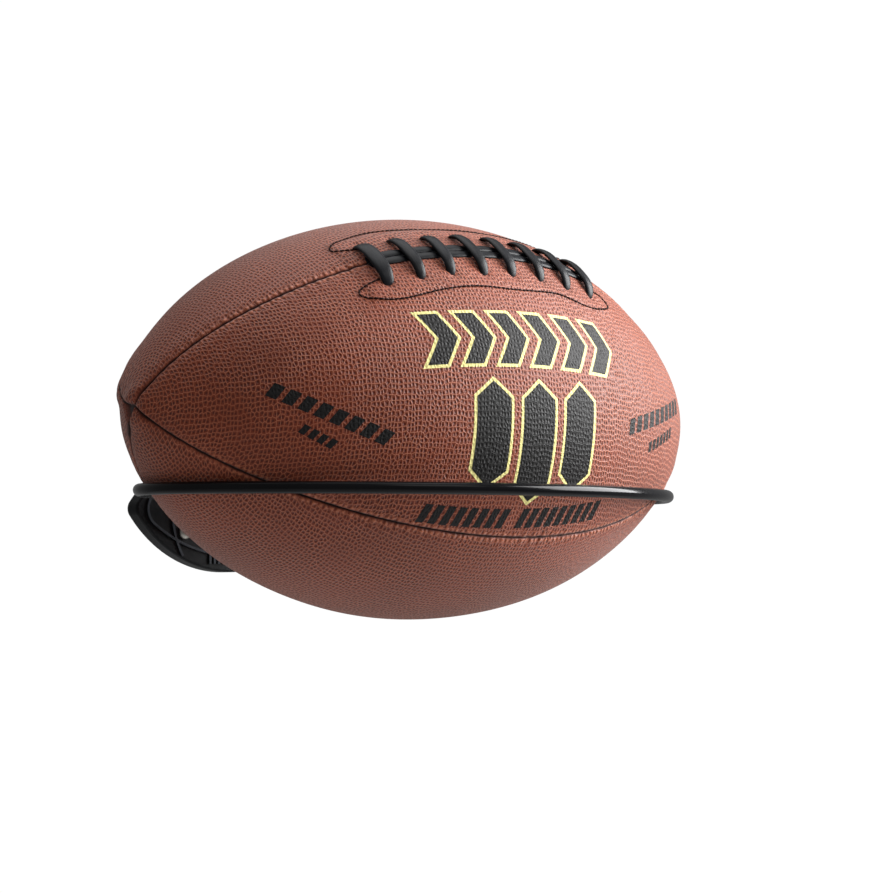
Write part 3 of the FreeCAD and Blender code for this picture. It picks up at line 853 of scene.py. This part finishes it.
def stitch_along(name, lines, tree, sizes):
    """Stitches along lines of points, as a plain mesh."""
    mesh = bpy.data.meshes.new(name)
    points, edges = [], []
    for line in lines:
        first = len(points)
        points += [tuple(p) for p in line]
        edges += [(first + i, first + i + 1) for i in range(len(line) - 1)]
    mesh.from_pydata(points, edges, [])
    path = bpy.data.objects.new(name + "_path", mesh)
    bpy.context.scene.collection.objects.link(path)
    modifier = path.modifiers.new("Stitches", "NODES")
    modifier.node_group = tree
    for item in tree.interface.items_tree:
        if item.item_type == "SOCKET" and item.in_out == "INPUT" and item.name in sizes:
            modifier[item.identifier] = sizes[item.name]
    depsgraph = bpy.context.evaluated_depsgraph_get()
    result = bpy.data.meshes.new_from_object(path.evaluated_get(depsgraph))
    bpy.data.objects.remove(path)
    piece = bpy.data.objects.new(name, result)
    bpy.context.scene.collection.objects.link(piece)
    return piece

# --- printed marks ---------------------------------------------------------------

EDGING_WIDTH = 1.4               # in millimetres, as the marks are
EDGING_LIFT, INK_LIFT = 0.04 * MM, 0.08 * MM


def slanted_bar(centre, width, height, slant):
    """Corners of an upright bar that leans to the right."""
    lean = height / 2 * slant
    x, y = centre
    return [(x - width / 2 - lean, y - height / 2), (x + width / 2 - lean, y - height / 2),
            (x + width / 2 + lean, y + height / 2), (x - width / 2 + lean, y + height / 2)]


def chevron(x, width, height, stroke):
    """Corners of two slanted strokes that meet at a point on the right."""
    left, right = x - width / 2, x + width / 2
    return [(left, -height / 2), (left + stroke, -height / 2), (right, 0), (left + stroke, height / 2),
            (left, height / 2), (right - stroke, 0)]


def hexagon(x, width, low, high, point):
    """Corners of a tall hexagon, pointed below and above."""
    left, right = x - width / 2, x + width / 2
    return [(x, low), (right, low + point), (right, high - point), (x, high), (left, high - point),
            (left, low + point)]


def as_quads(corners):
    """A mark's outline split into four-sided patches."""
    if len(corners) == 4:
        return [corners]
    a, b, c, d, e, f = corners
    if e[0] < d[0] and b[1] == a[1]:
        return [[a, b, c, f], [f, c, d, e]]
    return [[f, a, d, e], [a, b, c, d]]


def tick_row(count, pitch, width, height, slant, gap_after=None):
    """A row of small bars, with a wider gap after one of them."""
    gap = 0.9
    places = [i + (gap if gap_after and i >= gap_after else 0) for i in range(count)]
    middle = (places[0] + places[-1]) / 2
    return [slanted_bar(((p - middle) * pitch, 0), width, height, slant) for p in places]


def grown(corners, margin):
    """An outline with each side moved out by a margin."""
    points = [Vector(c) for c in corners]
    result = []
    for i, here in enumerate(points):
        before, after = points[i - 1], points[(i + 1) % len(points)]
        first, second = (here - before).normalized(), (after - here).normalized()
        out_a, out_b = Vector((first.y, -first.x)), Vector((second.y, -second.x))
        result.append(tuple(here + (out_a + out_b) * (margin / (1 + out_a.dot(out_b)))))
    return result


def patch_grid(corners, spacing):
    """A four-sided patch as rows and columns of points about a spacing apart."""
    a, b, c, d = [np.array(p) * MM for p in corners]
    size_u = max(np.linalg.norm(b - a), np.linalg.norm(c - d))
    size_v = max(np.linalg.norm(d - a), np.linalg.norm(c - b))
    columns, rows = [max(3, int(size / spacing)) for size in (size_u, size_v)]
    s, t = np.meshgrid(np.linspace(0, 1, columns), np.linspace(0, 1, rows))
    s, t = s[..., None], t[..., None]
    return (a * (1 - s) + b * s) * (1 - t) + (d * (1 - s) + c * s) * t


def print_piece(skin, name, marks, place, turn, lift, material):
    """Print laid on the skin: outlines in millimetres about a place, turned on the skin."""
    spacing = 1.1 * MM
    panel_middle = skin.ball.laced_seam - math.pi / 4
    points, faces, uvs = [], [], []
    for corners in [quad for mark in marks for quad in as_quads(mark)]:
        flat = patch_grid(corners, spacing)
        along = place[0] + flat[..., 0] * math.cos(turn) - flat[..., 1] * math.sin(turn)
        up = flat[..., 0] * math.sin(turn) + flat[..., 1] * math.cos(turn)
        angle = place[1] + up / skin.radius(along)
        start = sum(len(x) for x in points)
        points.append(skin.point(along, angle, skin.relief(along, angle) + lift).reshape(-1, 3))
        uvs.append(np.stack([along, (angle - panel_middle) * skin.radius(along)], -1).reshape(-1, 2))
        faces += grid_faces(*along.shape, start)
    return mesh_piece(name, np.concatenate(points), faces, material, np.concatenate(uvs))

# --- screws ----------------------------------------------------------------------


SCREW_START = -0.3 * MM
THREAD_ROWS, THREAD_AROUND = 150, 24


def thread_points(screw, x, z):
    """Rings of a wood screw's thread, from just under the plate to its point."""
    y = np.linspace(SCREW_START, screw.point, THREAD_ROWS)[:, None]
    turn = np.linspace(0, TURN, THREAD_AROUND, endpoint=False)[None, :]
    phase = np.mod(y / screw.pitch - turn / TURN, 1.0)
    crest_width = 0.28
    crest = np.clip(1 - np.abs(phase - 0.5) / crest_width, 0, 1)
    taper = np.clip((screw.point - y) / (screw.point - screw.straight), 0.02, 1)
    depth = (screw.outer - screw.core) * rising(y, SCREW_START, screw.pitch)
    radius = (screw.core + depth * crest) * taper
    return np.stack([x + radius * np.cos(turn), y + 0 * turn, z + radius * np.sin(turn)], -1).reshape(-1, 3)


def build_screws(screw, material):
    """The four screws: the formed heads, with a cut thread in place of the plain one."""
    work = bmesh.new()
    work.from_mesh(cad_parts["wall_screws"].data)
    bmesh.ops.remove_doubles(work, verts=work.verts, dist=0.001 * MM)
    plain = [face for face in work.faces if min(v.co.y for v in face.verts) > -0.01 * MM]
    bmesh.ops.delete(work, geom=plain, context="FACES")
    bmesh.ops.holes_fill(work, edges=[edge for edge in work.edges if edge.is_boundary], sides=0)
    work.verts.index_update()
    points = [np.array([v.co[:] for v in work.verts])]
    faces = [tuple(v.index for v in face.verts) for face in work.faces]
    heads = len(faces)
    work.free()
    for x in (-screw.apart_x / 2, screw.apart_x / 2):
        for z in (-screw.apart_z / 2, screw.apart_z / 2):
            start = sum(len(p) for p in points)
            points.append(thread_points(screw, x, z))
            faces += tube_faces(THREAD_ROWS, THREAD_AROUND, start)
    piece = mesh_piece("screws_cut", np.concatenate(points), faces, material)
    for face in piece.data.polygons[:heads]:
        face.use_smooth = False
    return face_outwards(piece)

# --- stage -----------------------------------------------------------------------

LIGHTS = (   # name, place from the middle of the ball, size, watts, tint
    ("right", (1.25, -0.62, 0.55), 1.2, 64.0, (1.0, 1.0, 1.0)),
    ("front", (0.1, -1.3, 1.2), 0.8, 3.0, (1.0, 0.99, 0.97)),
    ("top", (0.15, 0.25, 1.4), 1.3, 9.5, (1.0, 1.0, 1.0)))


def build_camera(scene, stage):
    """Camera that sees the ball from below its middle and from the left."""
    data = bpy.data.cameras.new("camera")
    data.lens = stage.lens
    data.clip_end = 50
    camera = bpy.data.objects.new("camera", data)
    where = BALL_CENTRE + Vector(stage.camera)
    look = BALL_CENTRE + Vector(stage.aim) - where
    turn = look.to_track_quat("-Z", "Y").to_matrix().to_4x4()
    camera.matrix_world = Matrix.Translation(where) @ turn @ Matrix.Rotation(stage.roll, 4, "Z")
    scene.collection.objects.link(camera)
    scene.camera = camera


def build_light(name, offset, size, power, tint):
    """A square soft light, aimed at the ball."""
    data = bpy.data.lights.new(name, "AREA")
    data.shape, data.size, data.energy, data.color = "SQUARE", size, power, tint
    light = bpy.data.objects.new(name, data)
    light.location = BALL_CENTRE + Vector(offset)
    light.rotation_euler = (-Vector(offset)).to_track_quat("-Z", "Y").to_euler()
    light.visible_camera = False
    bpy.context.scene.collection.objects.link(light)


def build_world(scene):
    """White to the camera, softer as a light."""
    world = bpy.data.worlds.new("studio")
    world.use_nodes = True
    tree = world.node_tree
    background = tree.nodes["Background"]
    background.inputs["Color"].default_value = (1, 1, 1, 1)
    seen = add_node(tree, "ShaderNodeLightPath").outputs["Is Camera Ray"]
    as_light, more_when_seen = 0.22, 0.8
    strength = maths(tree, "ADD", as_light, maths(tree, "MULTIPLY", seen, more_when_seen))
    tree.links.new(strength, background.inputs["Strength"])
    scene.world = world


def build_floor(stage):
    """A plain pale round floor under the holder."""
    work = bmesh.new()
    bmesh.ops.create_circle(work, cap_ends=True, segments=96, radius=stage.floor_radius)
    mesh = bpy.data.meshes.new("floor")
    work.to_mesh(mesh)
    work.free()
    mesh.transform(Matrix.Translation((BALL_CENTRE.x, BALL_CENTRE.y, -stage.floor_drop)))
    material = grained_material("Pale floor", (0.7, 0.7, 0.7), 0.8, grain=60.0, patches=2.0, strength=0.05,
                                emission_color=(1, 1, 1, 1))
    tree = material.node_tree
    seen = add_node(tree, "ShaderNodeLightPath").outputs["Is Camera Ray"]
    glow = maths(tree, "MULTIPLY", seen, 0.5)
    tree.links.new(glow, tree.nodes["Principled BSDF"].inputs["Emission Strength"])
    mesh.materials.append(material)
    floor = bpy.data.objects.new("floor", mesh)
    bpy.context.scene.collection.objects.link(floor)

# --- operators -------------------------------------------------------------------


def the_skin(context):
    """The ball's surface, from the scene's settings."""
    return Skin(context.scene.wfh_ball, context.scene.wfh_lace)


class WFH_OT_ball_cover(bpy.types.Operator):
    """Make the four pebbled panels of the ball's cover"""
    bl_idname = "wfh.ball_cover"
    bl_label = "Ball cover"

    def execute(self, context):
        skin = the_skin(context)
        material = skin_material(context.scene.wfh_finish)
        for number, name in enumerate(PANELS):
            start = skin.ball.laced_seam + (number - 1) * QUARTER
            piece = build_panel(skin, name, start, material)
            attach(piece, BALL)
            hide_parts("panel_" + name)
        return {"FINISHED"}


class WFH_OT_lace(bpy.types.Operator):
    """Make the lace and its two long strands"""
    bl_idname = "wfh.lace"
    bl_label = "Lace"

    def execute(self, context):
        piece = build_lace(the_skin(context), lace_material(context.scene.wfh_finish))
        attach(piece, BALL)
        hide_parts("lace")
        return {"FINISHED"}


class WFH_OT_facing_stitches(bpy.types.Operator):
    """Stitch the two facings beside the lace"""
    bl_idname = "wfh.facing_stitches"
    bl_label = "Facing stitches"

    def execute(self, context):
        skin, lace = the_skin(context), context.scene.wfh_lace
        thread = grained_material("Facing thread", (0.018, 0.007, 0.006), 0.7, grain=4000.0,
                                  specular_ior_level=0.1)
        sizes = {"Pitch": lace.stitch * 0.96, "Stitch": lace.stitch, "Thread": lace.thread}
        lines = [facing_line(skin, FACING_FRONT, -1), facing_line(skin, FACING_REAR, 1)]
        piece = stitch_along("facing_stitches", lines, stitch_tree(thread), sizes)
        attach(piece, BALL)
        return {"FINISHED"}


class WFH_OT_printed_marks(bpy.types.Operator):
    """Print plain chevrons, hexagons and ticks on the front panel"""
    bl_idname = "wfh.printed_marks"
    bl_label = "Printed marks"

    def execute(self, context):
        skin, finish = the_skin(context), context.scene.wfh_finish
        seam = skin.ball.laced_seam
        ink = ink_material("Ink", finish.ink, finish, 0.55)
        edging = ink_material("Pale edging", finish.edging, finish, 0.5)

        def place(x, below):
            """A place from millimetres along the ball and degrees below the laced seam."""
            return skin.at_x(x * MM), seam - math.radians(below)

        chevrons = [chevron((i - 2.5) * 17.2, 16.0, 23.0, 9.0) for i in range(6)]
        hexagons = [hexagon((i - 1) * 23.5, 17.0, low, 22.5, 7.0)
                    for i, low in enumerate((-22, -28, -22))]
        # Name, ticks (count, pitch, width, height, slant in mm), place, turn in degrees.
        rows = [
            ("marks_left", tick_row(8, 7.0, 4.8, 6.6, 0.35), place(-88, 56.0), -20),
            ("marks_left_small", tick_row(4, 4.2, 2.8, 4.4, 0.3), place(-92, 65.0), -20),
            ("marks_right", tick_row(10, 6.4, 4.4, 6.6, 0.35), place(89, 50.0), 13),
            ("marks_right_small", tick_row(7, 4.2, 2.8, 4.4, 0.3), place(91, 59.5), 13),
            ("marks_low", tick_row(17, 5.4, 3.6, 9.0, 0.3, gap_after=8), place(2, 83.6), 2.5),
        ]
        for name, marks, where in (("chevron_mark", chevrons, place(1.5, 31.5)),
                                   ("hexagon_mark", hexagons, place(4.0, 59.5))):
            wide = [grown(mark, EDGING_WIDTH) for mark in marks]
            rows.append((name, marks, where, 0))
            edge = print_piece(skin, name + "_edging", wide, where, 0, EDGING_LIFT, edging)
            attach(edge, BALL)
        for name, marks, where, turn in rows:
            piece = print_piece(skin, name, marks, where, math.radians(turn), INK_LIFT, ink)
            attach(piece, BALL)
        return {"FINISHED"}


class WFH_OT_ball_inside(bpy.types.Operator):
    """Finish the pieces inside the ball"""
    bl_idname = "wfh.ball_inside"
    bl_label = "Inside of the ball"

    def execute(self, context):
        give(cloth_material("Lining cloth", (0.60, 0.55, 0.46), 260.0),
             *["lining_" + name for name in PANELS])
        give(grained_material("Bladder rubber", (0.05, 0.05, 0.055), 0.5, grain=500.0), "bladder")
        give(grained_material("Valve rubber", (0.04, 0.035, 0.035), 0.55, grain=1500.0), "valve")
        give(grained_material("Tongue felt", (0.05, 0.048, 0.045), 0.9, grain=2500.0, strength=0.6),
             "lace_tongue")
        give(grained_material("Facing backing", (0.16, 0.06, 0.035), 0.8, grain=1600.0, strength=0.4),
             "lace_facing_front", "lace_facing_rear")
        return {"FINISHED"}


class WFH_OT_hoop(bpy.types.Operator):
    """Give the hoop and its welds a satin black coat"""
    bl_idname = "wfh.hoop"
    bl_label = "Hoop"

    def execute(self, context):
        coat = grained_material("Black powder coat", context.scene.wfh_finish.rod, 0.16, grain=1400.0,
                                patches=40.0, strength=0.06, specular_ior_level=0.18)
        give(coat, "hoop", "leg_welds")
        return {"FINISHED"}


class WFH_OT_wall_plate(bpy.types.Operator):
    """Finish the moulded cover and the bracket behind it"""
    bl_idname = "wfh.wall_plate"
    bl_label = "Wall plate"

    def execute(self, context):
        give(moulding_material(context.scene.wfh_finish), "wall_cover")
        give(grained_material("Zinc plated sheet", (0.42, 0.43, 0.45), 0.38, grain=700.0, patches=120.0,
                              metallic=1.0), "mounting_bracket")
        return {"FINISHED"}


class WFH_OT_fixings(bpy.types.Operator):
    """Cut the threads of the four wall screws and finish them"""
    bl_idname = "wfh.fixings"
    bl_label = "Screws"

    def execute(self, context):
        zinc = grained_material("Dull zinc", (0.42, 0.40, 0.36), 0.36, grain=1500.0, patches=200.0,
                                strength=0.12, metallic=1.0)
        piece = build_screws(context.scene.wfh_screw, zinc)
        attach(piece, HOLDER)
        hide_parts("wall_screws")
        return {"FINISHED"}


class WFH_OT_stage(bpy.types.Operator):
    """Set the camera, the lights, the background and the floor"""
    bl_idname = "wfh.stage"
    bl_label = "Stage"

    def execute(self, context):
        stage = context.scene.wfh_stage
        build_camera(context.scene, stage)
        for light in LIGHTS:
            build_light(*light)
        build_world(context.scene)
        build_floor(stage)
        context.scene.view_settings.view_transform = "Standard"
        return {"FINISHED"}

# --- panel and registration ------------------------------------------------------


class WFH_PT_holder(bpy.types.Panel):
    """Pieces of the football holder"""
    bl_label = "Football holder"
    bl_idname = "WFH_PT_holder"
    bl_space_type = "VIEW_3D"
    bl_region_type = "UI"
    bl_category = "Football holder"

    def draw(self, context):
        for operator in OPERATORS:
            self.layout.operator(operator.bl_idname)
        for name in SETTINGS:
            settings = getattr(context.scene, name)
            box = self.layout.box()
            for key in settings.__annotations__:
                box.prop(settings, key)


OPERATORS = (WFH_OT_stage, WFH_OT_ball_cover, WFH_OT_lace, WFH_OT_facing_stitches, WFH_OT_printed_marks,
             WFH_OT_ball_inside, WFH_OT_hoop, WFH_OT_wall_plate, WFH_OT_fixings)
CLASSES = tuple(SETTINGS.values()) + OPERATORS + (WFH_PT_holder,)


def register():
    for item in CLASSES:
        bpy.utils.register_class(item)
    for name, settings in SETTINGS.items():
        setattr(bpy.types.Scene, name, bpy.props.PointerProperty(type=settings))


def unregister():
    for name in SETTINGS:
        delattr(bpy.types.Scene, name)
    for item in reversed(CLASSES):
        bpy.utils.unregister_class(item)


def main():
    """Register, and make every piece in turn."""
    register()
    for operator in OPERATORS:
        group, name = operator.bl_idname.split(".")
        getattr(getattr(bpy.ops, group), name)()


if __name__ == "__main__":
    main()
